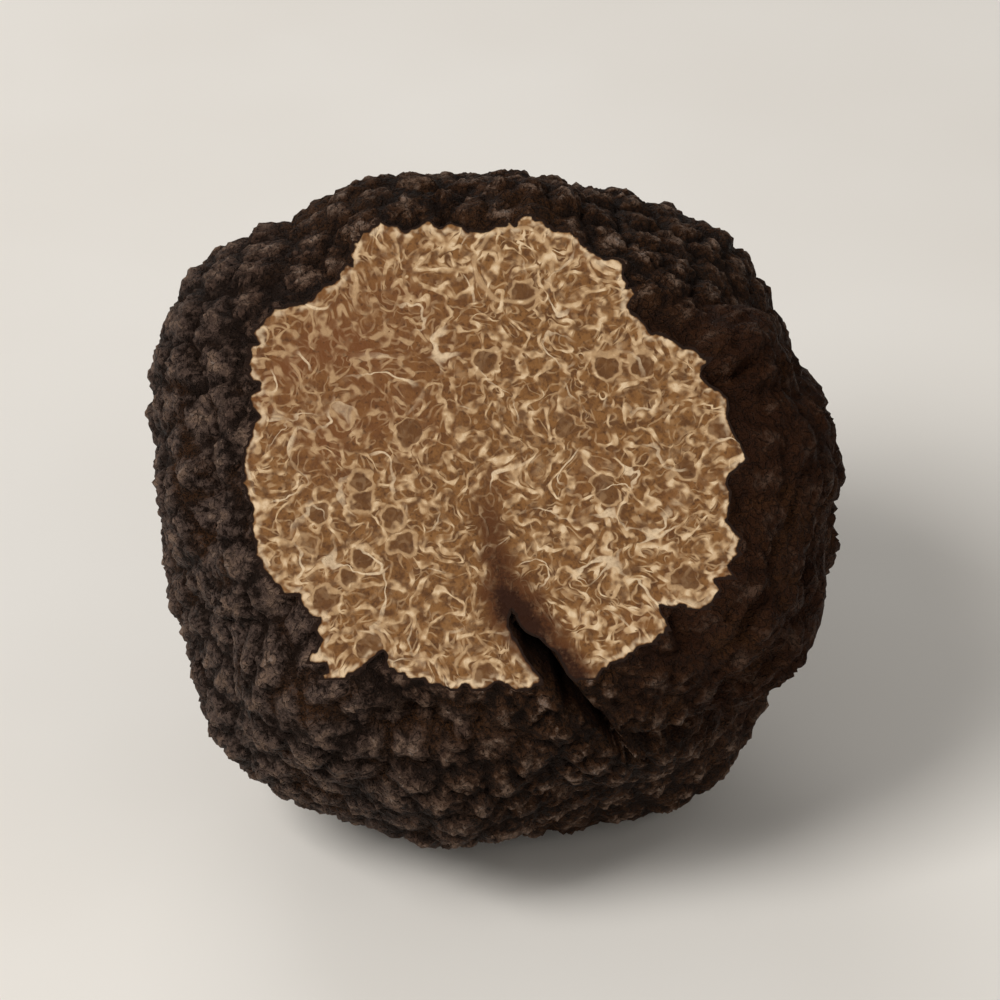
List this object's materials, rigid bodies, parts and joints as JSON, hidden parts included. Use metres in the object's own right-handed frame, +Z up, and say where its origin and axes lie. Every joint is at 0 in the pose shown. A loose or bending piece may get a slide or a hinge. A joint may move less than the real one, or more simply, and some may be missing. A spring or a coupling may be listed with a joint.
{
  "type": "cut black truffle",
  "caption": "Black truffle with a cap sliced off: a lobed, warty dark body with one round flat cut face of brown flesh marbled with cream veins and notched by a deep fold.",
  "frame": {"origin": "on the surface that the body rests on, under the middle of its bounding box", "axes": "+Z up, out of the flat spot that it rests on; the cut face looks up and forward, 45 degrees above -Y; +X to the right as seen from the cut face"},
  "size_m": [0.056, 0.0534, 0.0527],
  "materials": {
    "rind": "rough, warty, dull with a faint cool sheen on the wart tips"
  },
  "bodies": {
    "root": {"truffle": "rind"}
  },
  "joints": []
}
